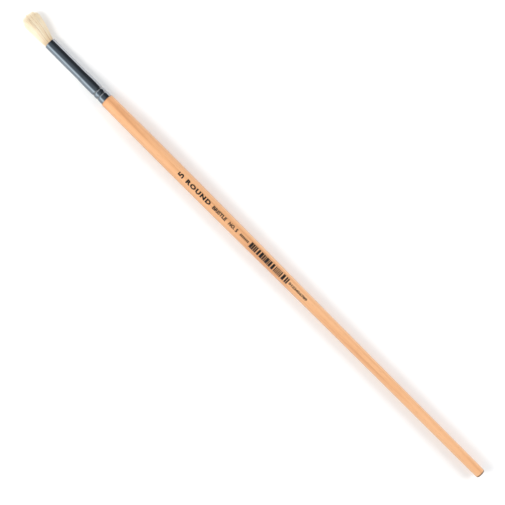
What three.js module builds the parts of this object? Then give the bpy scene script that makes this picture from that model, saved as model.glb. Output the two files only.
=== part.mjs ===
// A long-handled round hog-bristle artist's brush, size 5.
// A turned hardwood handle ends in a tenon, which is glued and crimped into a seamless
// nickel-plated ferrule. Inside the ferrule the bristles are tied with thread and set in resin,
// and outside it they splay into a round head with a soft domed tip.
//
// Millimetres. The brush lies along X: the flat of its butt is at the origin, its bristle tip is
// at +X, and +Z is up. Every piece is drawn along its own +Y, and one group lays them along +X.

import * as THREE from "three";

// Driving dimensions. Distances along the brush start at the butt.
const overallLength = 317;
const bristleOut = 18;
const ferruleLength = 39.4;
const ferruleMouthRadius = 3.0;
const ferruleRearRadius = 3.18;
const ferruleWall = 0.3;
const bellyRadius = 3.62;
const shoulderRadius = 3.46;
const buttRadius = 2.56;
const buttFlatRadius = 1.4;
const buttDome = 0.9;
const shoulderRound = 0.3;
const tenonLength = 14.5;
const tenonChamfer = 0.6;
const glueThickness = 0.12;
const fitGap = 0.05;
const headRadiusMost = 5.2;

// Places along the brush that follow from them.
const mouthAt = overallLength - bristleOut;
const ferruleRearAt = mouthAt - ferruleLength;
const shoulderAt = ferruleRearAt - 2 * fitGap;
const tenonTipAt = shoulderAt + tenonLength;
const bellyAt = 0.71 * overallLength;
const mouthBoreRadius = ferruleMouthRadius - ferruleWall;

// Two crimps roll the ferrule, the glue and the tenon inwards together.
const crimpDepth = 0.32;
const crimpWidth = 1.7;
const crimpCentres = [ferruleRearAt + 3.4, ferruleRearAt + 6.1];

// The tube swells from its mouth size to its rear size just ahead of the tenon's tip.
const swellStart = tenonTipAt - 1;
const swellEnd = tenonTipAt + 3;

const aroundSteps = 36;
const lipSteps = 4;

const profilePoint = (radius, along) => new THREE.Vector2(radius, along);

function crimpAt(along) {
  const offsets = crimpCentres.map((centre) => Math.abs(along - centre));
  const nearest = Math.min(...offsets);
  if (nearest >= crimpWidth / 2) return 0;
  return crimpDepth * Math.cos((Math.PI * nearest) / crimpWidth) ** 2;
}

function ferruleOuterRadius(along) {
  const share = THREE.MathUtils.smoothstep(along, swellStart, swellEnd);
  const tube = THREE.MathUtils.lerp(ferruleRearRadius, ferruleMouthRadius, share);
  return tube - crimpAt(along);
}

// Distances along the brush where a crimped surface needs a ring of points.
function crimpStations() {
  const shares = [-0.5, -0.28, 0, 0.28, 0.5];
  return crimpCentres.flatMap((centre) => shares.map((share) => centre + share * crimpWidth));
}

function steps(from, to, count) {
  return Array.from({ length: count + 1 }, (_, i) => THREE.MathUtils.lerp(from, to, i / count));
}

// A quarter ellipse in the lathe plane, from one corner of its box to the opposite one. It
// leaves the first point along the radius and reaches the second one along the axis.
function quarterRound(from, to, count) {
  return steps(0, Math.PI / 2, count).map((turn) =>
    profilePoint(
      from.x + (to.x - from.x) * Math.sin(turn),
      from.y + (to.y - from.y) * (1 - Math.cos(turn)),
    ),
  );
}

function lathe(profile) {
  return new THREE.LatheGeometry(profile, aroundSteps);
}

function piece(name, geometry, finish) {
  const mesh = new THREE.Mesh(geometry, new THREE.MeshStandardMaterial(finish));
  mesh.name = name;
  return mesh;
}

// ---- Handle: one turned piece, from the domed butt to the chamfered tip of its tenon ----

function handleSide() {
  const side = new THREE.SplineCurve([
    profilePoint(buttRadius, buttDome),
    profilePoint(2.68, 0.1 * overallLength),
    profilePoint(2.8, 0.24 * overallLength),
    profilePoint(2.99, 0.37 * overallLength),
    profilePoint(3.27, 0.48 * overallLength),
    profilePoint(3.52, 0.6 * overallLength),
    profilePoint(bellyRadius, bellyAt),
    profilePoint(shoulderRadius, shoulderAt - shoulderRound),
  ]);
  return side.getPoints(21).slice(1);
}

// The tenon stands clear of the bore by the glue and the thin gap on each side of it.
function tenonRadius(along) {
  return ferruleOuterRadius(along) - ferruleWall - glueThickness - 2 * fitGap;
}

function handleProfile() {
  const cornerInset = shoulderRound * (1 - Math.SQRT1_2);
  const butt = quarterRound(
    profilePoint(buttFlatRadius, 0),
    profilePoint(buttRadius, buttDome),
    5,
  );
  const tenonStations = [shoulderAt, ...crimpStations(), swellStart, tenonTipAt - tenonChamfer];
  return [
    profilePoint(0, 0),
    ...butt,
    ...handleSide(),
    profilePoint(shoulderRadius - cornerInset, shoulderAt - cornerInset),
    profilePoint(shoulderRadius - shoulderRound, shoulderAt),
    ...tenonStations.map((along) => profilePoint(tenonRadius(along), along)),
    profilePoint(tenonRadius(tenonTipAt) - tenonChamfer, tenonTipAt),
    profilePoint(0, tenonTipAt),
  ];
}

const handle = piece("handle", lathe(handleProfile()), {
  color: "#f0bd8a",
  roughness: 0.35,
  metalness: 0,
});

// ---- Ferrule: a thin seamless tube with half-round lips and two crimps ----

// A lip goes half round the edge of the wall, centred on the wall's middle.
function lip(along, direction) {
  const middle = ferruleOuterRadius(along) - ferruleWall / 2;
  const half = ferruleWall / 2;
  return steps(0, Math.PI, lipSteps).map((turn) =>
    profilePoint(
      middle + direction * half * Math.cos(turn),
      along + direction * half * Math.sin(turn),
    ),
  );
}

function ferruleProfile() {
  const half = ferruleWall / 2;
  const stations = [...crimpStations(), ...steps(swellStart, swellEnd, 4)];
  const outside = stations.map((along) => profilePoint(ferruleOuterRadius(along), along));
  const inside = stations
    .map((along) => profilePoint(ferruleOuterRadius(along) - ferruleWall, along))
    .reverse();
  const rearLip = lip(ferruleRearAt + half, -1);
  const mouthLip = lip(mouthAt - half, 1);
  return [...rearLip, ...outside, ...mouthLip, ...inside, rearLip[0].clone()];
}

const ferrule = piece("ferrule", lathe(ferruleProfile()), {
  color: "#b9c2cb",
  roughness: 0.14,
  metalness: 1,
});

// ---- Glue: a thin sleeve that bonds the tenon in the ferrule ----

function glueProfile() {
  const endInset = 0.7;
  const stations = [shoulderAt + endInset, ...crimpStations(), tenonTipAt - 2 * endInset];
  const outerRadius = (along) => ferruleOuterRadius(along) - ferruleWall - fitGap;
  const outside = stations.map((along) => profilePoint(outerRadius(along), along));
  const inside = stations
    .map((along) => profilePoint(outerRadius(along) - glueThickness, along))
    .reverse();
  return [...outside, ...inside, outside[0].clone()];
}

const tenonGlue = piece("tenon_glue", lathe(glueProfile()), {
  color: "#e6d7b4",
  roughness: 0.3,
  metalness: 0,
});

// ---- Resin plug: a cup of hard resin that holds the root ends of the bristles ----

const plugRearAt = mouthAt - 17.5;
const plugFrontAt = mouthAt - 11.5;
const cupFloorAt = plugRearAt + 2;
const cupLipSlope = 0.25;
const rootEndRadius = 2.15;
const cupRadius = rootEndRadius + fitGap;

function plugProfile() {
  const outer = mouthBoreRadius - fitGap;
  const meniscus = 0.45;
  return [
    profilePoint(0, plugRearAt + meniscus),
    ...quarterRound(
      profilePoint(0.4 * outer, plugRearAt + meniscus),
      profilePoint(outer, plugRearAt),
      3,
    ),
    profilePoint(outer, plugFrontAt),
    profilePoint(cupRadius, plugFrontAt - cupLipSlope),
    profilePoint(cupRadius, cupFloorAt),
    profilePoint(0, cupFloorAt),
  ];
}

const epoxyPlug = piece("epoxy_plug", lathe(plugProfile()), {
  color: "#c8a062",
  roughness: 0.2,
  metalness: 0,
});

// ---- Bristle roots: the bound part of the bristles, from the resin up to the mouth ----

const tieRadius = 2.1;
const tieAt = plugFrontAt + 2;
const tieHalfLength = 1.2;
const rootsGap = 0.12;
const looseFrom = 2.8;
const fullFrom = 5;
const bendRadius = 2.5;
const socketGap = 0.16;
const socketRadius = bendRadius + socketGap;

// The roots spread again ahead of the tie, and end in a hollow round the middle of the mouth, where
// the free bristles bend.
function rootsProfile() {
  const fullRadius = mouthBoreRadius - rootsGap;
  const looseRadius = (tieRadius + fullRadius) / 2;
  const socketTurn = Math.asin(fullRadius / socketRadius);
  const socket = steps(socketTurn, 0, 6).map((turn) =>
    profilePoint(socketRadius * Math.sin(turn), mouthAt - socketRadius * Math.cos(turn)),
  );
  return [
    profilePoint(0, cupFloorAt + fitGap),
    profilePoint(rootEndRadius, cupFloorAt + fitGap),
    profilePoint(rootEndRadius, plugFrontAt),
    profilePoint(tieRadius, tieAt - tieHalfLength),
    profilePoint(tieRadius, tieAt + tieHalfLength),
    profilePoint(looseRadius, tieAt + looseFrom),
    profilePoint(fullRadius, tieAt + fullFrom),
    ...socket,
  ];
}

const bristleRoots = piece("bristle_roots", lathe(rootsProfile()), {
  color: "#d9c39a",
  roughness: 0.7,
  metalness: 0,
});

// ---- Binding thread: four turns round the roots, ahead of the resin ----

const threadRadius = 0.14;
const threadTurns = 4;
const threadPitch = 0.36;

class ThreadHelix extends THREE.Curve {
  getPoint(share, target = new THREE.Vector3()) {
    const turn = 2 * Math.PI * threadTurns * share;
    const radius = tieRadius + threadRadius + 2 * fitGap;
    const along = tieAt + threadPitch * threadTurns * (share - 0.5);
    return target.set(radius * Math.sin(turn), along, radius * Math.cos(turn));
  }
}

function threadGeometry() {
  const sides = 6;
  const corners = steps(0, 2 * Math.PI, sides)
    .slice(0, sides)
    .map((turn) => profilePoint(threadRadius * Math.cos(turn), threadRadius * Math.sin(turn)));
  return new THREE.ExtrudeGeometry(new THREE.Shape(corners), {
    steps: 20 * threadTurns,
    extrudePath: new ThreadHelix(),
  });
}

const bindingThread = piece("binding_thread", threadGeometry(), {
  color: "#ece6d6",
  roughness: 0.8,
  metalness: 0,
});

// ---- Bristle head: nineteen locks of bristle, laid one, six and twelve like a rope ----

// The head bends about the middle of the mouth. Behind the neck it is a ball, and ahead of the
// neck it stays inside the cone that clears the ferrule's mouth when it bends.
const bendLimit = THREE.MathUtils.degToRad(30);
const neckAt = bendRadius * Math.sin(bendLimit);
const neckRadius = bendRadius * Math.cos(bendLimit);
const flareLength = 1.8;
const domeFrom = 6;
const domeTo = bristleOut + 0.4;
const thinningLength = 4.5;
const tipThinning = 0.72;

// The head's outer radius at a distance ahead of the mouth.
function headRadius(ahead) {
  if (ahead <= neckAt) return Math.sqrt(bendRadius ** 2 - ahead ** 2);
  const flare = 1 - Math.exp((neckAt - ahead) / flareLength);
  const spread = THREE.MathUtils.lerp(neckRadius, headRadiusMost, flare);
  const domeShare = Math.max(0, (ahead - domeFrom) / (domeTo - domeFrom));
  return spread * (1 - domeShare ** 2.6) ** 0.6;
}

// A lock's radius and its distance from the axis, as shares of the head's radius. Round locks
// that touch, one in six in twelve, have their centres 0, 2 and 3.86 lock radii from the axis.
const ringSpacing = [0, 2, 3.864];
const lockShare = 1 / (ringSpacing[2] + 1);
const lockSlack = 0.97;
const lockSides = 6;

const rootStations = [-2, -1.2, -0.4, 0.5, neckAt, 1.9, 2.7, 3.9, 5.6, 8, 10.5];
const tipShares = [0.4, 0.7, 0.9, 1];

function lockStations(tipAt) {
  const last = rootStations[rootStations.length - 1];
  return [...rootStations, ...tipShares.map((share) => last + share * (tipAt - last))];
}

// A lock thins to a blunt point over its last few millimetres.
function lockThinning(ahead, tipAt) {
  return 1 - tipThinning * THREE.MathUtils.smoothstep(ahead, tipAt - thinningLength, tipAt);
}

function lockGeometry(ring, angle, tipAt) {
  const stations = lockStations(tipAt);
  const rows = stations.length - 1;
  const lock = new THREE.CylinderGeometry(1, 1, 1, lockSides, rows);
  const place = lock.getAttribute("position");
  for (let i = 0; i < place.count; i++) {
    const row = Math.round((place.getY(i) + 0.5) * rows);
    const ahead = stations[row];
    const unit = headRadius(ahead) * lockShare;
    const centre = unit * ringSpacing[ring];
    const thick = unit * lockSlack * lockThinning(ahead, tipAt);
    place.setXYZ(
      i,
      centre * Math.sin(angle) + thick * place.getX(i),
      mouthAt + ahead,
      centre * Math.cos(angle) + thick * place.getZ(i),
    );
  }
  return lock;
}

// Locks nearer the outside end a little sooner, and each one ends at its own length.
function lockRing(name, ring, count, tipAt) {
  const unevenness = [0, 0.5, 0.2, 0.7, 0.35];
  return Array.from({ length: count }, (_, i) => {
    const angle = (2 * Math.PI * (i + 0.5 * (ring - 1))) / count;
    const own = tipAt - unevenness[i % unevenness.length];
    const label = count > 1 ? `${name}_${String(i + 1).padStart(2, "0")}` : name;
    return piece(label, lockGeometry(ring, angle, own), {
      color: "#efdfbf",
      roughness: 0.6,
      metalness: 0,
    });
  });
}

const bristleHead = new THREE.Group();
bristleHead.add(
  ...lockRing("bristle_lock_core", 0, 1, bristleOut),
  ...lockRing("bristle_lock_inner", 1, 6, bristleOut - 0.5),
  ...lockRing("bristle_lock_outer", 2, 12, bristleOut - 1.9),
);

const brush = new THREE.Group();
brush.add(handle, ferrule, tenonGlue, epoxyPlug, bristleRoots, bindingThread, bristleHead);
brush.rotation.z = -Math.PI / 2;

export default brush;
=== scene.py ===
import math
import random

import bmesh
import bpy
import numpy as np
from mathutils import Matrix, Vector


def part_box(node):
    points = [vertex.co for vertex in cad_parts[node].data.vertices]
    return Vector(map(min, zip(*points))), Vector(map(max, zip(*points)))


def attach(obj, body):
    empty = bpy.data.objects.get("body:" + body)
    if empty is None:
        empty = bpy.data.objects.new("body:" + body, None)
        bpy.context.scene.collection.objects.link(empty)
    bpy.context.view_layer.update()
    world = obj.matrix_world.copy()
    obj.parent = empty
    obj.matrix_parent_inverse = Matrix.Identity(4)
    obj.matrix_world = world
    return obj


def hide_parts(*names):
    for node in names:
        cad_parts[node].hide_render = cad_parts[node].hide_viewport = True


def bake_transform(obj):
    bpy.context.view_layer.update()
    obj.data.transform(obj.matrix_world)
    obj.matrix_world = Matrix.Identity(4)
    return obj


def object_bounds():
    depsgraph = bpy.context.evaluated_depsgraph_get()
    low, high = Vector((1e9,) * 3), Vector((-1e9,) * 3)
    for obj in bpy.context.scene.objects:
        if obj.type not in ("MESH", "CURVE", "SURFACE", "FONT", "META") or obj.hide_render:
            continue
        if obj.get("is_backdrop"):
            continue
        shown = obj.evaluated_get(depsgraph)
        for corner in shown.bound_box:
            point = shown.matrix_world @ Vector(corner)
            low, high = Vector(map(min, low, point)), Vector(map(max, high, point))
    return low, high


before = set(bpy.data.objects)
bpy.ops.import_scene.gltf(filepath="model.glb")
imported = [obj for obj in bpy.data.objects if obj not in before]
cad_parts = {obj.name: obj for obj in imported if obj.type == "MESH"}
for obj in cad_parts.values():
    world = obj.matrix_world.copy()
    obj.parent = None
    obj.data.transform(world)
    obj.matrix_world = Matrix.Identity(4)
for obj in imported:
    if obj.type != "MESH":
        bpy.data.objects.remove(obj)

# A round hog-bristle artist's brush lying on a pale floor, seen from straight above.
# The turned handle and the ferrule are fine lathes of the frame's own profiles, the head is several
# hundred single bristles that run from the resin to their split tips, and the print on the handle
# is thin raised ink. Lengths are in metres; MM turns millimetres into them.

MM = 0.001
SHAFT, HEAD = "shaft", "bristle_head"
cad_low, cad_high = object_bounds()
chance = random.Random(5)

# The map of this name holds each piece's places for baking its colours.
BAKE_MAP = "OFBake"


# ---------------------------------------------------------------- reading the frame

def node_rings(node):
    """The rings of a lathed CAD node, as (place along the brush, radius), sorted along the brush."""
    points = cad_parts[node].data.vertices
    return sorted({(round(p.co.x, 6), round(math.hypot(p.co.y, p.co.z), 6)) for p in points})


def outer_rings(node):
    """A lathed node's outside, as two arrays: places along the brush, and the largest radius there."""
    widest = {}
    for along, radius in node_rings(node):
        widest[along] = max(radius, widest.get(along, 0.0))
    return np.array(sorted(widest)), np.array([widest[along] for along in sorted(widest)])


def smooth_through(places, values, at):
    """A smooth curve through the points (places, values), read at the places at. It doesn't swing
    past the points: where they turn round or run level, so does the curve."""
    steps = np.diff(values) / np.diff(places)
    before, after = np.r_[steps[0], steps], np.r_[steps, steps[-1]]
    together = before * after > 0
    slopes = np.zeros(len(values))
    slopes[together] = 2 * before[together] * after[together] / (before + after)[together]
    i = np.clip(np.searchsorted(places, at, side="right") - 1, 0, len(places) - 2)
    step = places[i + 1] - places[i]
    t = np.clip((at - places[i]) / step, 0, 1)
    return (
        values[i] * (1 + 2 * t) * (1 - t) ** 2
        + slopes[i] * step * t * (1 - t) ** 2
        + values[i + 1] * t * t * (3 - 2 * t)
        + slopes[i + 1] * step * t * t * (t - 1)
    )


head_nodes = [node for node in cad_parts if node.startswith("bristle_lock")]
ferrule_low, ferrule_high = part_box("ferrule")
handle_end_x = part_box("handle")[1].x
plug_end_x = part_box("epoxy_plug")[1].x
mouth_x = ferrule_high.x
tip_x = max(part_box(node)[1].x for node in head_nodes)
head_radius = max(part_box(node)[1].z for node in head_nodes)

handle_places, handle_radii = outer_rings("handle")
ferrule_places, ferrule_radii = outer_rings("ferrule")
# The ferrule's lips are half rounds, so its first ring lies half a wall in from its outside.
wall = 2 * (ferrule_radii.max() - min(r for x, r in node_rings("ferrule") if x == ferrule_places[0]))
shoulder_x = max(x for x, r in zip(handle_places, handle_radii) if x < ferrule_low.x)
plain_from_x = mouth_x - 20 * MM        # from here to its mouth the ferrule is a plain straight tube

# The round socket that the bristle head turns in isn't part of the bundle's outside.
root_places, root_radii = outer_rings("bristle_roots")
from_mouth = np.hypot(mouth_x - root_places, root_radii)
on_outside = from_mouth > 1.01 * from_mouth.min()
root_places, root_radii = root_places[on_outside], root_radii[on_outside]


def handle_radius(along):
    """The visible handle's radius at places along the brush."""
    side = handle_places <= shoulder_x
    return smooth_through(handle_places[side], handle_radii[side], np.asarray(along, float))


# ---------------------------------------------------------------- mesh helpers

def new_object(name, mesh, material):
    made = bpy.data.objects.new(name, mesh)
    bpy.context.scene.collection.objects.link(made)
    mesh.materials.append(material)
    return made


def smooth_mesh(name, points, faces, places):
    """A smooth-shaded mesh; places are the corners of its faces in the baking map."""
    mesh = bpy.data.meshes.new(name)
    mesh.from_pydata(points, [], faces)
    layer = mesh.uv_layers.new(name=BAKE_MAP)
    layer.data.foreach_set("uv", np.array(places, np.float32).ravel())
    mesh.polygons.foreach_set("use_smooth", np.ones(len(mesh.polygons), bool))
    return mesh


def lathe(name, outline, material, around=112, closed=False, rows=1):
    """A solid of revolution round the brush's axis. outline is (place, radius) points from butt to
    tip; a closed outline makes a tube, and an open one starts and ends on the axis.
    Its baking map lays the length out in rows, one under another."""
    outline = np.array(outline, float)
    ringed = outline if closed else outline[1:-1]
    turns = np.arange(around) * 2 * np.pi / around
    count = len(ringed)
    vertices = np.empty((count, around, 3))
    vertices[:, :, 0] = ringed[:, :1]
    vertices[:, :, 1] = ringed[:, 1:] * np.sin(turns)
    vertices[:, :, 2] = ringed[:, 1:] * np.cos(turns)
    points = [tuple(p) for p in vertices.reshape(-1, 3)]
    faces, places = [], []
    run = count if closed else count - 1
    margin = 0.02
    gap = margin / rows
    row_rings = math.ceil(run / rows)
    for ring in range(run):
        row, step = divmod(ring, row_rings)
        nxt = (ring + 1) % count
        for turn in range(around):
            after = (turn + 1) % around
            faces.append((ring * around + turn, nxt * around + turn,
                          nxt * around + after, ring * around + after))
            low = (row + gap + (1 - 2 * gap) * turn / around) / rows
            high = (row + gap + (1 - 2 * gap) * (turn + 1) / around) / rows
            left, right = step / row_rings, (step + 1) / row_rings
            places += [(left, low), (right, low), (right, high), (left, high)]
    if not closed:
        first, last = len(points), len(points) + 1
        points += [(outline[0, 0], 0.0, 0.0), (outline[-1, 0], 0.0, 0.0)]
        end = (count - 1) * around
        corner = margin / 2
        for turn in range(around):
            after = (turn + 1) % around
            faces.append((first, turn, after))
            faces.append((last, end + after, end + turn))
            places += [(0.0, 0.0), (corner, 0.0), (corner, corner)]
            places += [(1 - corner, 1 - corner), (1.0, 1 - corner), (1.0, 1.0)]
    mesh = smooth_mesh(name, points, faces, places)
    mesh.validate()
    return new_object(name, mesh, material)


# ---------------------------------------------------------------- node helpers

class Nodes:
    """Short calls for building the node tree of a material or of the world."""

    def __init__(self, owner, shader):
        owner.use_nodes = True
        self.owner = owner
        self.tree = owner.node_tree
        self.shader = self.tree.nodes[shader]
        self.places = self.tree.nodes.new("ShaderNodeTexCoord").outputs
        self.place = self.places["Object"]

    def add(self, kind, inputs=None, **settings):
        node = self.tree.nodes.new(kind)
        for key, value in settings.items():
            setattr(node, key, value)
        for key, value in (inputs or {}).items():
            self.put(node.inputs[key], value)
        return node

    def put(self, socket, value):
        if isinstance(value, bpy.types.NodeSocket):
            self.tree.links.new(value, socket)
        else:
            socket.default_value = value

    def set(self, **values):
        """Sets or links the main shader's inputs; an underscore in a name stands for a space."""
        for key, value in values.items():
            self.put(self.shader.inputs[key.replace("_", " ")], value)

    def stretched(self, along, across, turn=0.0, shift=0.0):
        """The place on the brush, scaled to so many cycles per metre along it and across it."""
        node = self.add("ShaderNodeMapping", {"Vector": self.place})
        node.inputs["Scale"].default_value = (along, across, across)
        node.inputs["Rotation"].default_value = (turn, 0.0, 0.0)
        node.inputs["Location"].default_value = (shift, shift, shift)
        return node.outputs["Vector"]

    def noise(self, vector, scale=1.0, detail=3.0, rough=0.5, distort=0.0):
        node = self.add("ShaderNodeTexNoise", {"Vector": vector, "Scale": scale, "Detail": detail,
                                               "Roughness": rough, "Distortion": distort})
        return node.outputs["Fac"]

    def spread(self, value, low, high, to_low=0.0, to_high=1.0):
        node = self.add("ShaderNodeMapRange", {"Value": value, "From Min": low, "From Max": high,
                                               "To Min": to_low, "To Max": to_high})
        return node.outputs["Result"]

    def maths(self, operation, a, b=0.0):
        node = self.add("ShaderNodeMath", {0: a, 1: b}, operation=operation)
        return node.outputs[0]

    def mix(self, share, a, b, blend="MIX"):
        node = self.add("ShaderNodeMix", data_type="RGBA", blend_type=blend)
        self.put(node.inputs[0], share)
        for socket, value in ((node.inputs[6], a), (node.inputs[7], b)):
            self.put(socket, value if isinstance(value, bpy.types.NodeSocket) else (*value, 1.0))
        return node.outputs[2]

    def ramp(self, value, *stops):
        node = self.add("ShaderNodeValToRGB", {"Fac": value})
        stops_left = node.color_ramp.elements
        while len(stops_left) < len(stops):
            stops_left.new(0.5)
        for element, (position, colour) in zip(stops_left, stops):
            element.position = position
            element.color = (*colour, 1.0)
        return node.outputs["Color"]

    def bump(self, height, strength, depth):
        node = self.add("ShaderNodeBump", {"Height": height, "Strength": strength, "Distance": depth})
        return node.outputs["Normal"]


def material_nodes(name):
    return Nodes(bpy.data.materials.new(name), "Principled BSDF")


# ---------------------------------------------------------------- materials

def wood_material():
    """Clear-lacquered pale hardwood: long soft bands, fine fibres, small dark pores, and a dark
    brown butt end, ringed like end grain."""
    n = material_nodes("lacquered_wood")
    pale, warm, deep = (0.86, 0.50, 0.27), (0.80, 0.42, 0.20), (0.62, 0.28, 0.12)
    pore = (0.42, 0.19, 0.08)
    end_dark, end_pale = (0.085, 0.045, 0.022), (0.27, 0.16, 0.085)
    ring_width = 0.6 * MM
    pith = (0, 5 * MM, -6 * MM)
    bands = n.noise(n.stretched(9, 420), detail=2.0, distort=0.4)
    fibres = n.noise(n.stretched(45, 2600, shift=3.0), detail=4.0, rough=0.65)
    patches = n.noise(n.stretched(22, 60, shift=7.0), detail=2.0)
    pores = n.noise(n.stretched(330, 5200, shift=11.0), detail=1.0)
    tone = n.maths("ADD", n.maths("MULTIPLY", bands, 0.55), n.maths("MULTIPLY", fibres, 0.30))
    tone = n.maths("ADD", tone, n.maths("MULTIPLY", patches, 0.15))
    colour = n.ramp(n.spread(tone, 0.36, 0.64), (0.0, deep), (0.38, warm), (1.0, pale))
    colour = n.mix(n.spread(pores, 0.66, 0.76, 0.0, 0.55), colour, pore)
    along = n.add("ShaderNodeSeparateXYZ", {"Vector": n.place}).outputs["X"]
    # Painted shade: the wood darkens over the last 3 mm before the shoulder, where it meets the
    # ferrule.
    colour = n.mix(n.spread(along, shoulder_x - 3 * MM, shoulder_x, 0.0, 0.35), colour, deep)
    # The butt's last millimetre or so is dark brown, ringed round the pith like end grain.
    ragged = n.noise(n.stretched(300, 1500), detail=2.0)
    edge = n.maths("ADD", along, n.maths("MULTIPLY", ragged, 0.5 * MM))
    end_share = n.spread(edge, 0.95 * MM, 1.25 * MM, 1.0, 0.0)
    flecks = n.noise(n.stretched(10, 3800), detail=3.0)
    from_pith = n.add("ShaderNodeVectorMath", {0: n.stretched(0, 1), 1: pith}, operation="DISTANCE")
    rings = n.maths("MULTIPLY", from_pith.outputs["Value"], 2 * math.pi / ring_width)
    growth = n.maths("ADD", flecks, n.maths("MULTIPLY", n.maths("SINE", rings), 0.13))
    end_colour = n.mix(n.spread(growth, 0.2, 0.85), end_dark, end_pale)
    n.set(Base_Color=n.mix(end_share, colour, end_colour))
    n.set(Roughness=n.spread(fibres, 0.3, 0.7, 0.30, 0.42))
    n.set(Coat_Weight=n.spread(end_share, 0.0, 1.0, 0.75, 0.15))
    n.set(Coat_Roughness=n.spread(patches, 0.3, 0.7, 0.05, 0.13))
    ripple = n.noise(n.stretched(180, 260, shift=5.0), detail=2.0)
    relief = n.maths("ADD", n.maths("MULTIPLY", fibres, 0.5), ripple)
    n.set(Normal=n.bump(relief, 0.25, 0.02 * MM))
    return n.owner


def nickel_material():
    """Bright nickel plate over a drawn tube: fine lengthwise draw lines, faint polishing rings,
    and darker, duller metal down in the crimps and at the joint with the handle."""
    n = material_nodes("nickel_plate")
    darker, lighter, recess_colour = (0.66, 0.70, 0.75), (0.74, 0.76, 0.79), (0.30, 0.28, 0.26)
    draw_lines = n.noise(n.stretched(40, 7000), detail=3.0, rough=0.6)
    rings = n.noise(n.stretched(5200, 30, shift=2.0), detail=2.0)
    smudges = n.noise(n.stretched(160, 260, shift=9.0), detail=3.0)
    split = n.add("ShaderNodeSeparateXYZ", {"Vector": n.place})
    from_axis = n.add("ShaderNodeCombineXYZ", {"Y": split.outputs["Y"], "Z": split.outputs["Z"]})
    reach = n.add("ShaderNodeVectorMath", {0: from_axis.outputs["Vector"]}, operation="LENGTH")
    full, groove = float(ferrule_radii[1]), float(ferrule_radii.max()) - 0.25 * MM
    crimped = n.spread(split.outputs["X"], plain_from_x - 2 * MM, plain_from_x - 4 * MM)
    depth = n.spread(reach.outputs["Value"], full - 0.03 * MM, groove, 0.0, 1.0)
    # Darker and rougher where the tube dips into the crimp grooves and at the rear lip, patchy with
    # the smudges.
    recess_darkening = n.maths("MULTIPLY", n.maths("MULTIPLY", depth, crimped), smudges)
    n.set(Base_Color=n.mix(recess_darkening, n.mix(smudges, darker, lighter), recess_colour))
    n.set(Metallic=1.0)
    rough = n.spread(smudges, 0.3, 0.75, 0.09, 0.17)
    n.set(Roughness=n.maths("ADD", rough, n.maths("MULTIPLY", recess_darkening, 0.25)))
    relief = n.maths("ADD", draw_lines, n.maths("MULTIPLY", rings, 0.35))
    n.set(Normal=n.bump(relief, 0.12, 0.006 * MM))
    return n.owner


TONES = 16


def bristle_material():
    """Hog bristle. The map's first number picks the bristle's tone and its second runs from the
    root to the tip, so that each bristle is one tone, darker at its root, as painted shade where
    the bristles go into the ferrule, and paler at its tip."""
    n = material_nodes("bristle")
    chart = n.add("ShaderNodeUVMap", uv_map=BAKE_MAP).outputs["UV"]
    chart = n.add("ShaderNodeSeparateXYZ", {"Vector": chart})
    which, along = chart.outputs["X"], chart.outputs["Y"]
    tone = n.ramp(which, (0.0, (0.45, 0.30, 0.16)), (0.2, (0.70, 0.53, 0.34)),
                  (0.45, (0.94, 0.84, 0.65)), (0.75, (0.98, 0.93, 0.80)), (1.0, (0.98, 0.96, 0.89)))
    # Painted shade: darker from the root to a few millimetres past the ferrule's mouth.
    root = n.ramp(along, (0.0, (0.62, 0.47, 0.30)), (0.46, (0.72, 0.59, 0.44)),
                  (0.56, (0.92, 0.86, 0.78)), (0.70, (1.0, 0.98, 0.94)))
    pale_tip = (0.96, 0.90, 0.76)
    tone = n.mix(n.spread(along, 0.78, 0.98, 0.0, 0.65), tone, pale_tip)
    n.set(Base_Color=n.mix(1.0, tone, root, "MULTIPLY"))
    n.set(Roughness=0.42)
    n.set(Specular_IOR_Level=0.35)
    scales = n.noise(n.stretched(9000, 2500), detail=2.0)
    n.set(Normal=n.bump(scales, 0.3, 0.01 * MM))
    return n.owner


def ink_material():
    """Stamped dark ink, slightly thin and brown where the wood's grain shows through."""
    n = material_nodes("ink")
    grain = n.noise(n.stretched(200, 3200), detail=3.0)
    n.set(Base_Color=n.mix(n.spread(grain, 0.55, 0.8), (0.012, 0.009, 0.008), (0.08, 0.04, 0.025)))
    n.set(Roughness=n.spread(grain, 0.3, 0.7, 0.38, 0.6))
    n.set(Coat_Weight=0.35)
    return n.owner


def resin_material():
    n = material_nodes("resin")
    cloud = n.noise(n.stretched(500, 500), detail=3.0)
    n.set(Base_Color=n.mix(cloud, (0.42, 0.22, 0.07), (0.70, 0.45, 0.18)))
    n.set(Roughness=n.spread(cloud, 0.3, 0.7, 0.08, 0.22))
    n.set(Coat_Weight=0.6)
    n.set(Normal=n.bump(cloud, 0.2, 0.03 * MM))
    return n.owner


def glue_material():
    n = material_nodes("glue")
    cloud = n.noise(n.stretched(350, 900), detail=3.0)
    n.set(Base_Color=n.mix(cloud, (0.66, 0.54, 0.34), (0.84, 0.75, 0.56)))
    n.set(Roughness=n.spread(cloud, 0.3, 0.7, 0.25, 0.5))
    n.set(Normal=n.bump(cloud, 0.3, 0.02 * MM))
    return n.owner


def thread_material():
    n = material_nodes("thread")
    twist = n.add("ShaderNodeTexWave", {"Vector": n.stretched(2600, 2600), "Scale": 1.0,
                                        "Distortion": 2.0, "Detail": 2.0}, bands_direction="DIAGONAL")
    n.set(Base_Color=n.mix(twist.outputs["Fac"], (0.62, 0.55, 0.42), (0.86, 0.82, 0.72)))
    n.set(Roughness=0.85)
    n.set(Normal=n.bump(twist.outputs["Fac"], 0.6, 0.03 * MM))
    return n.owner


FLOOR_RADIUS = 1.2


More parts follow.
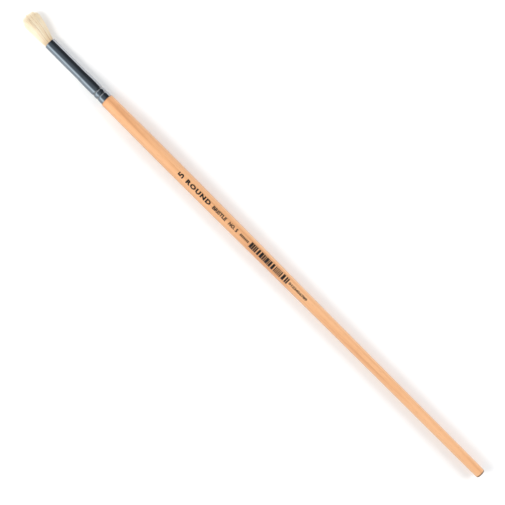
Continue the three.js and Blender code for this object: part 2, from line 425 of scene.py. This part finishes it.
def floor_material():
    """Pale paper that glows towards its rim. Glossy rays see a painted reflection in its place:
    pale grey on the −Y side of the brush and dark on the +Y side, painted shade beside the brush."""
    n = material_nodes("floor")
    fibre = n.noise(n.stretched(40, 40), detail=4.0)
    paper = n.mix(fibre, (0.93, 0.93, 0.93), (0.95, 0.95, 0.95))
    # Painted reflection: the metal sees this grey ramp instead of the paper.
    mirrored = n.add("ShaderNodeLightPath").outputs["Is Glossy Ray"]
    across = n.add("ShaderNodeSeparateXYZ", {"Vector": n.place}).outputs["Y"]
    painted_reflection = n.ramp(n.spread(across, -40 * MM, 40 * MM), (0.0, (0.55, 0.55, 0.56)),
                        (0.5, (0.55, 0.55, 0.56)), (0.6, (0.34, 0.37, 0.40)),
                        (0.75, (0.19, 0.215, 0.24)), (1.0, (0.24, 0.27, 0.30)))
    n.set(Base_Color=n.mix(mirrored, paper, painted_reflection))
    away = n.add("ShaderNodeVectorMath", {0: n.place}, operation="LENGTH").outputs["Value"]
    n.set(Emission_Color=(1.0, 1.0, 1.0, 1.0))
    n.set(Emission_Strength=n.spread(away, 0.35, FLOOR_RADIUS - 0.1, 0.0, 0.8))
    n.set(Roughness=0.7)
    n.set(Specular_IOR_Level=0.2)
    n.set(Normal=n.bump(n.noise(n.stretched(900, 900), detail=2.0), 0.05, 0.05 * MM))
    return n.owner


# ---------------------------------------------------------------- handle and ferrule

def make_handle(material):
    """The turned handle, with its tenon, on the frame's own outline."""
    start = handle_places[0]
    butt = handle_places <= start + 1 * MM
    corner_from = shoulder_x - 0.4 * MM
    side = np.linspace(handle_places[butt][-1], corner_from, 240)
    flat, dome_radius = handle_radii[0], handle_radii[butt][-1]
    turns = np.linspace(0, 1, 15) * math.pi / 2
    dome = [(start + (side[0] - start) * (1 - math.cos(t)), flat + (dome_radius - flat) * math.sin(t))
            for t in turns]
    rings = list(zip(handle_places, handle_radii))
    corner = [(x, r) for x, r in rings if corner_from < x <= shoulder_x]
    tenon = [(x, r) for x, r in rings if x > shoulder_x]
    neck = [(shoulder_x, tenon[0][1])]
    outline = [(start, 0.0), *dome, *zip(side[1:], handle_radius(side[1:])),
               *corner, *neck, *tenon, (handle_end_x, 0.0)]
    made = lathe("handle_turned", outline, material, rows=4)
    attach(made, SHAFT)
    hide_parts("handle")


def make_ferrule(material):
    """The ferrule tube: its outside follows the frame smoothly, its inside is one wall further in,
    and both lips are half rounds."""
    half = wall / 2
    near = 0.01 * MM
    body = ferrule_places > ferrule_low.x + half - near
    body &= ferrule_places < ferrule_high.x - half + near
    places, radii = ferrule_places[body], ferrule_radii[body]
    crimped = np.linspace(places[0], plain_from_x, 150)
    plain = np.linspace(plain_from_x, places[-1], 12)[1:]
    along = np.concatenate([crimped, plain])
    outside = list(zip(along, smooth_through(places, radii, along)))
    inside = [(x, r - wall) for x, r in reversed(outside)]
    turns = np.linspace(0, math.pi, 9)[1:-1]
    (rear, rear_radius), (front, front_radius) = outside[0], outside[-1]
    mouth_lip = [(front + half * math.sin(t), front_radius - half + half * math.cos(t)) for t in turns]
    rear_lip = [(rear - half * math.sin(t), rear_radius - half - half * math.cos(t)) for t in turns]
    made = lathe("ferrule_tube", outside + mouth_lip + inside + rear_lip, material,
                 closed=True, rows=2)
    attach(made, SHAFT)
    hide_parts("ferrule")


# ---------------------------------------------------------------- bristles

BRISTLES = 880
CLUMPS = 200
BRISTLE_RADIUS = 0.087 * MM
FREE = tip_x - mouth_x                      # how far the longest bristle stands out of the ferrule
FLARE_RADIUS = 1.18 * head_radius           # what the flare tends to, and never quite reaches
FLARE_LENGTH = 12 * MM
FLARE_EASE = 1.2 * MM
LEAN, LEAN_LENGTH = 1.9 * MM, 7 * MM
ROUNDING = 0.20                             # how much shorter the outermost bristles are
ROOT_DEPTH = 3.9 * MM                       # how far the roots stand in the resin
GOLDEN = math.pi * (3 - math.sqrt(5))


def roots_radius(along):
    """How far out the outermost bristle runs inside the ferrule, waisted by the thread."""
    return np.interp(along, root_places, root_radii) - BRISTLE_RADIUS


def spread_radius(ahead):
    """How far out the outermost free bristle runs, at distances ahead of the mouth."""
    bore = float(roots_radius(mouth_x - 1 * MM))
    eased = ahead ** 2 / (ahead + FLARE_EASE)
    flare = 1 - np.exp(-eased / FLARE_LENGTH)
    return bore + (FLARE_RADIUS - bore) * flare


def head_lean(ahead):
    """How far the head as a whole leans to one side, at distances ahead of the mouth."""
    return -LEAN * ahead ** 2 / (ahead ** 2 + LEAN_LENGTH ** 2)


def spiral(count, i):
    """The share of the way out, and the turn, of one of count places spread evenly over the head."""
    return math.sqrt((i + 0.5) / count), i * GOLDEN


def polar(size, turn):
    return size * math.cos(turn), size * math.sin(turn)


def clump_centres():
    """The wisps of a few bristles that cling together towards their tips. Each has its place across
    the head, its tone, whether its middle is dark, how hard it gathers, how it leans and how much
    longer it is. The tone is painted paler towards the +Y side, as painted light from that side,
    and the dark middles, real darker bristles, come more often over the −Y half and the middle,
    as painted shade there."""
    made = []
    for i in range(CLUMPS):
        place = polar(*spiral(CLUMPS, i))
        # Painted shade: dark middles come nearly three times as often over the −Y half and the middle.
        dark_and_shade_chance = 0.34 if place[0] < 0.15 else 0.12
        made.append({
            "place": place,
            # Painted light: the tone rises towards the lit +Y side.
            "tone": 0.67 + 0.20 * place[0] + chance.gauss(0, 0.08),
            "dark": chance.random() < dark_and_shade_chance,
            "pull": chance.uniform(0.2, 0.7),
            "lean": (chance.gauss(0, 0.30 * MM), chance.gauss(0, 0.30 * MM)),
            "longer": chance.gauss(0, 0.45 * MM),
        })
    return made


def bristle_plan():
    """Every bristle, as a dict: its place across the head, how it bends, its length and its tone."""
    clumps = clump_centres()
    stray_chance, stray_lean = 0.04, 0.8 * MM
    short_chance = 0.06
    clump_middle = 0.048
    made = []
    for i in range(BRISTLES):
        share, turn = spiral(BRISTLES, i)
        across = polar(share, turn + chance.uniform(-0.12, 0.12))
        clump = min(clumps, key=lambda c: math.dist(c["place"], across))
        stray = chance.random() < stray_chance
        lean_turn = chance.uniform(0, 2 * math.pi)
        lean = abs(chance.gauss(0, 0.16 * MM)) + (stray_lean if stray else 0.0)
        bow_turn = chance.uniform(0, 2 * math.pi)
        bow = chance.gauss(0, 0.12 * MM)
        length = FREE * (1 - ROUNDING * share ** 3.4) + clump["longer"]
        length += chance.gauss(-0.4 * MM, 0.4 * MM)
        if chance.random() < short_chance:
            length -= chance.uniform(0.8, 3.0) * MM
        tone = clump["tone"] + chance.gauss(0, 0.07)
        if clump["dark"] and math.dist(clump["place"], across) < clump_middle:
            tone = chance.uniform(0.0, 0.25)
        made.append({
            "share": share, "across": across, "centre": clump["place"], "pull": clump["pull"],
            "lean": [own + shared for own, shared in zip(polar(lean, lean_turn), clump["lean"])],
            "bow": polar(bow, bow_turn),
            "length": min(length, FREE), "thick": BRISTLE_RADIUS * chance.uniform(0.78, 1.15),
            "tone": min(max(tone, 0.0), 0.999),
        })
    return made


def bristle_points(bristle, ahead):
    """The middle line of a bristle at distances ahead of the mouth; inside the ferrule they are
    negative."""
    ahead = np.asarray(ahead, float)
    free = np.clip(ahead, 0, None)
    radius = np.where(ahead > 0, spread_radius(free), roots_radius(mouth_x + np.minimum(ahead, 0)))
    reach = free / FREE
    pull = bristle["pull"] * reach ** 1.3
    out = [mouth_x + ahead]
    for i in (0, 1):
        place = bristle["across"][i] * (1 - pull) + bristle["centre"][i] * pull
        sway = bristle["lean"][i] * reach ** 2 + bristle["bow"][i] * np.sin(np.pi * reach)
        out.append(place * radius + sway)
    out[1] += head_lean(free)
    return np.stack(out, axis=1)


def bristle_strands(plan):
    """Each bristle's stem and its split ends, as (points, radii, tone, share of the length)."""
    root = plug_end_x - mouth_x - ROOT_DEPTH
    inside = np.array([root, *(MM * behind for behind in (-12, -9.5, -7.5, -5, -1.2))])
    outside = np.linspace(0, 1, 16) ** 1.4      # closest together at the mouth, where they bend most
    grown = np.linspace(0, 1, 6)
    overlap = 0.25 * MM
    made = []
    for bristle in plan:
        tone = bristle["tone"]
        split_at = bristle["length"] - chance.uniform(2.0, 4.0) * MM
        ahead = np.concatenate([inside, split_at * outside])
        radii = bristle["thick"] * (1 - 0.30 * np.clip(ahead / FREE, 0, 1))
        made.append((bristle_points(bristle, ahead), radii, tone, (ahead - root) / (FREE - root)))
        ends = chance.choice((2, 2, 3))
        first_turn = chance.uniform(0, 2 * math.pi)
        for end in range(ends):
            last = bristle["length"] + chance.uniform(-1.0, 0.2) * MM
            ahead = np.linspace(split_at - overlap, last, len(grown))
            points = bristle_points(bristle, ahead)
            turn = first_turn + end * 2 * math.pi / ends
            apart = chance.uniform(0.04, 0.20) * MM * grown ** 1.2 + 0.35 * radii[-1]
            points[:, 1] += apart * math.cos(turn)
            points[:, 2] += apart * math.sin(turn)
            thin = radii[-1] * (0.70 - 0.42 * grown)
            made.append((points, thin, tone, (ahead - root) / (FREE - root)))
    return made


def strands_object(name, strands, material, sides=6):
    """One mesh of closed round strands."""
    points, faces, places = [], [], []
    turns = np.arange(sides) * 2 * np.pi / sides
    column = 1.0 / TONES
    margin = 0.1 * column
    strip = column - 2 * margin
    for middle, radii, tone, along in strands:
        tangent = np.gradient(middle, axis=0)
        tangent /= np.linalg.norm(tangent, axis=1, keepdims=True)
        side = np.cross(tangent, (0.0, 0.0, 1.0))
        side /= np.linalg.norm(side, axis=1, keepdims=True)
        over = np.cross(side, tangent)
        ring = (side[:, None] * np.cos(turns)[None, :, None]
                + over[:, None] * np.sin(turns)[None, :, None])
        start = len(points)
        points += [tuple(p) for p in (middle[:, None] + ring * radii[:, None, None]).reshape(-1, 3)]
        left = math.floor(tone * TONES) * column + margin
        for k in range(len(middle) - 1):
            low, high = along[k], along[k + 1]
            for turn in range(sides):
                after = (turn + 1) % sides
                base = start + k * sides
                faces.append((base + turn, base + after, base + sides + after, base + sides + turn))
                a = left + strip * turn / sides
                b = left + strip * (turn + 1) / sides
                places += [(a, low), (b, low), (b, high), (a, high)]
        end = start + (len(middle) - 1) * sides
        faces.append(tuple(start + turn for turn in reversed(range(sides))))
        faces.append(tuple(end + turn for turn in range(sides)))
        places += [(left, along[0])] * sides + [(left, along[-1])] * sides
    return new_object(name, smooth_mesh(name, points, faces, places), material)


def make_bristles(material):
    """Three pieces, from the middle of the head outwards. Their roots stay in the ferrule and their
    tips make the head."""
    plan = bristle_plan()
    shells = {
        "bristles_core": ((0.0, 0.42), [n for n in head_nodes if n.endswith("core")]),
        "bristles_inner": ((0.42, 0.74), [n for n in head_nodes if "inner" in n]),
        "bristles_outer": ((0.74, 2.0), [n for n in head_nodes if "outer" in n] + ["bristle_roots"]),
    }
    for name, ((low, high), nodes) in shells.items():
        members = [b for b in plan if low <= b["share"] < high]
        made = strands_object(name, bristle_strands(members), material)
        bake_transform(made)
        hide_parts(*nodes)


# ---------------------------------------------------------------- print on the handle

INK_UNDER, INK_OVER = -0.012 * MM, 0.018 * MM


def letters_mesh(body, length, height, heavy=0.0, slant=0.0, spacing=1.0):
    """Plain block letters as a flat solid: length along x from 0, height centred on y."""
    curve = bpy.data.curves.new("letters", "FONT")
    curve.body = body
    curve.extrude = 0.5
    curve.offset = heavy
    curve.shear = slant
    curve.space_character = spacing
    curve.resolution_u = 3
    holder = bpy.data.objects.new("letters", curve)
    bpy.context.scene.collection.objects.link(holder)
    bpy.context.view_layer.update()
    flat = bmesh.new()
    flat.from_mesh(holder.evaluated_get(bpy.context.evaluated_depsgraph_get()).to_mesh())
    bpy.data.objects.remove(holder)
    bmesh.ops.remove_doubles(flat, verts=flat.verts, dist=1e-5)
    fit_flat(flat, length, height)
    return flat


def fit_flat(flat, length, height):
    """Scales a flat solid to its printed size and to the ink's thickness."""
    low = [min(v.co[i] for v in flat.verts) for i in range(3)]
    high = [max(v.co[i] for v in flat.verts) for i in range(3)]
    for v in flat.verts:
        x, y, z = ((v.co[i] - low[i]) / (high[i] - low[i]) for i in range(3))
        v.co = (x * length, (y - 0.5) * height, INK_UNDER + z * (INK_OVER - INK_UNDER))


def bars_mesh(widths_and_gaps, length, height):
    """A row of upright bars from alternate widths and gaps."""
    flat = bmesh.new()
    at, total = 0.0, sum(widths_and_gaps)
    for i, width in enumerate(widths_and_gaps):
        if i % 2 == 0:
            made = bmesh.ops.create_cube(flat, size=1.0)["verts"]
            for v in made:
                v.co.x = at + (v.co.x + 0.5) * width
        at += width
    for v in flat.verts:
        v.co.x *= length / total
    fit_flat(flat, length, height)
    return flat


def wrap_on_handle(name, flat, back, turned, tilt, material):
    """Lays a flat solid round the handle, starting so far back from the shoulder. The print reads
    from the ferrule to the butt; a turned piece stands upright when the bristles point up."""
    step = 0.16 * MM
    across = 0 if turned else 1
    reach = max(abs(v.co[across]) for v in flat.verts)
    normal = Vector((1, 0, 0)) if turned else Vector((0, 1, 0))
    count = int(reach / step)
    for k in range(-count, count + 1):
        geometry = flat.verts[:] + flat.edges[:] + flat.faces[:]
        bmesh.ops.bisect_plane(flat, geom=geometry, plane_co=normal * (k * step), plane_no=normal)
    bmesh.ops.triangulate(flat, faces=flat.faces)
    for v in flat.verts:
        x, y, lift = v.co
        behind, up = (back - y, x) if turned else (back + x, y)
        place = shoulder_x - behind
        radius = float(handle_radius(place))
        turn = up / radius - tilt
        v.co = (place, -(radius + lift) * math.sin(turn), (radius + lift) * math.cos(turn))
    bmesh.ops.recalc_face_normals(flat, faces=flat.faces)
    mesh = bpy.data.meshes.new(name)
    flat.to_mesh(mesh)
    flat.free()
    made = new_object(name, mesh, material)
    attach(made, SHAFT)


def bar_widths(count):
    """Alternate bar widths and gaps. They follow a formula, and so stand for no product."""
    widths = []
    for i in range(count):
        widths.append(1.0 + 2.6 * math.sin(1.7 * i * i + i + 1.2) ** 2)
        widths.append(0.4 + 0.3 * abs(math.sin(2.3 * i * i)) + (0.9 if i * i % 7 == 2 else 0.0))
    return widths


def make_print(material):
    """The size numeral, plain words for the kind of brush, a row of dashes, a block of bars and a
    plain row of digits."""
    tilt = math.radians(4)
    size_width = 2.2 * MM
    size = letters_mesh("5", size_width, 3.3 * MM, heavy=0.03)
    for v in size.verts:
        v.co.x -= size_width / 2
    wrap_on_handle("print_size", size, 52.0 * MM, True, tilt, material)
    # Name, words, start behind the shoulder, length and height in millimetres, weight, slant, spacing.
    words = (
        ("print_shape", "ROUND", 55.8, 16.3, 2.35, 0.06, 0.0, 1.25),
        ("print_kind", "BRISTLE", 73.9, 9.2, 1.9, 0.045, 0.06, 1.0),
        ("print_number", "NO. 5", 84.9, 5.9, 1.9, 0.05, 0.06, 1.0),
        ("print_digits", "0123456789", 126.4, 12.2, 1.4, 0.04, 0.0, 1.0),
    )
    for name, body, back, length, height, heavy, slant, spacing in words:
        flat = letters_mesh(body, length * MM, height * MM, heavy, slant, spacing)
        wrap_on_handle(name, flat, back * MM, False, tilt, material)
    dots = bars_mesh([1.6, 0.8] * 6 + [1.6], 5.6 * MM, 1.2 * MM)
    wrap_on_handle("print_dots", dots, 92.8 * MM, False, tilt, material)
    bars = bars_mesh(bar_widths(21), 26 * MM, 3.1 * MM)
    wrap_on_handle("print_bars", bars, 99.7 * MM, False, tilt, material)


# ---------------------------------------------------------------- stage, light and camera

def make_floor(material, level):
    """A pale round floor under the brush. Towards its rim it glows, so that it fades into the white
    of the room."""
    flat = bmesh.new()
    bmesh.ops.create_circle(flat, cap_ends=True, segments=96, radius=FLOOR_RADIUS)
    for v in flat.verts:
        v.co.z = level
    mesh = bpy.data.meshes.new("floor")
    flat.to_mesh(mesh)
    flat.free()
    new_object("floor", mesh, material)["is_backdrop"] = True


def place_light(name, data, azimuth, elevation, distance, target):
    """Puts a light at a direction and a distance from its target. It lights surfaces but isn't
    mirrored in the metal, which sees the room set by make_world."""
    light = bpy.data.objects.new(name, data)
    bpy.context.scene.collection.objects.link(light)
    a, e = math.radians(azimuth), math.radians(elevation)
    away = Vector((math.cos(a) * math.cos(e), math.sin(a) * math.cos(e), math.sin(e)))
    light.location = target + away * distance
    light.rotation_mode = "QUATERNION"
    light.rotation_quaternion = away.to_track_quat("Z", "Y")
    light.visible_glossy = False


def soft_light(name, azimuth, power, colour, target):
    """A square soft light, level with the others of its kind."""
    data = bpy.data.lights.new(name, "AREA")
    data.size = 0.6
    data.energy = power
    data.color = colour
    place_light(name, data, azimuth, 40, 1.1, target)


def head_light(target):
    """A narrow warm light over the bristles, from the window's side. Real bristle passes light on
    from hair to hair, which solid strands don't, so it needs this to look as pale as it is."""
    data = bpy.data.lights.new("head_light", "SPOT")
    data.energy = 8.0
    data.color = (1.0, 0.98, 0.94)
    data.shadow_soft_size = 0.05
    data.spot_size = math.radians(8)
    data.spot_blend = 0.7
    place_light("head_light", data, 90, 66, 0.5, target)


def make_world():
    """A plain pale room. Mirrored in the metal it is a dim room with pale end walls and one long
    window low on the +Y side, which draws the bright stripe along the ferrule."""
    world = bpy.data.worlds.new("room")
    bpy.context.scene.world = world
    n = Nodes(world, "Background")
    path = n.add("ShaderNodeLightPath")
    way = n.add("ShaderNodeSeparateXYZ", {"Vector": n.places["Generated"]})
    turn = n.maths("ARCTAN2", way.outputs["Y"], way.outputs["Z"])
    # Degrees from straight up towards +Y, and what the metal sees there.
    views = ((-84, (0.03, 0.034, 0.04)), (-36, (0.022, 0.027, 0.033)), (-12, (0.075, 0.09, 0.105)),
             (33, (0.11, 0.135, 0.16)), (54, (0.62, 0.72, 0.78)), (68, (0.70, 0.80, 0.86)),
             (82, (0.36, 0.42, 0.46)), (95, (0.26, 0.30, 0.33)))
    stops = [((degrees + 180) / 360, colour) for degrees, colour in views]
    mirrored = n.ramp(n.spread(turn, -math.pi, math.pi), *stops)
    end_wall = n.spread(n.maths("ABSOLUTE", way.outputs["X"]), 0.74, 0.92)
    mirrored = n.mix(end_wall, mirrored, (0.85, 0.88, 0.90))
    plain = n.mix(path.outputs["Is Camera Ray"], (0.64, 0.65, 0.66), (1.0, 1.0, 1.0))
    n.set(Color=n.mix(path.outputs["Is Glossy Ray"], plain, mirrored))


def make_camera(centre, length):
    """Straight above, turned so that the brush runs from the lower right to the upper left. The
    picture is about three quarters as wide as the brush is long, and the brush sits a touch above
    its middle."""
    width = 0.781 * length
    down = 0.0133 * width
    lens, sensor = 100.0, 36.0
    turn = math.radians(225)
    up = Vector((-math.sin(turn), math.cos(turn), 0))
    data = bpy.data.cameras.new("camera")
    data.lens, data.sensor_width = lens, sensor
    data.clip_start = 0.01
    camera = bpy.data.objects.new("camera", data)
    bpy.context.scene.collection.objects.link(camera)
    camera.location = centre - up * down + Vector((0, 0, width * lens / sensor))
    camera.rotation_euler = (0, 0, turn)
    bpy.context.scene.camera = camera


# ---------------------------------------------------------------- the scene

make_handle(wood_material())
make_ferrule(nickel_material())
make_bristles(bristle_material())
make_print(ink_material())

# Three hidden pieces keep their own CAD meshes.
hidden = {"epoxy_plug": resin_material(), "tenon_glue": glue_material(),
          "binding_thread": thread_material()}
for node, material in hidden.items():
    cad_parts[node].data.materials.clear()
    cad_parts[node].data.materials.append(material)

middle = Vector(((cad_low.x + cad_high.x) / 2, 0, 0))
head_middle = Vector(((mouth_x + tip_x) / 2 + 2 * MM, 0, 0))
make_floor(floor_material(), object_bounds()[0].z)
make_world()
soft_light("key", 62, 7.0, (1.0, 0.985, 0.96), middle)
soft_light("fill", 242, 5.8, (0.99, 0.99, 1.0), middle)
head_light(head_middle)
make_camera(middle, cad_high.x - cad_low.x)
bpy.context.scene.view_settings.view_transform = "Standard"
bpy.context.scene.cycles.diffuse_bounces = 16
bpy.context.scene.cycles.max_bounces = 20
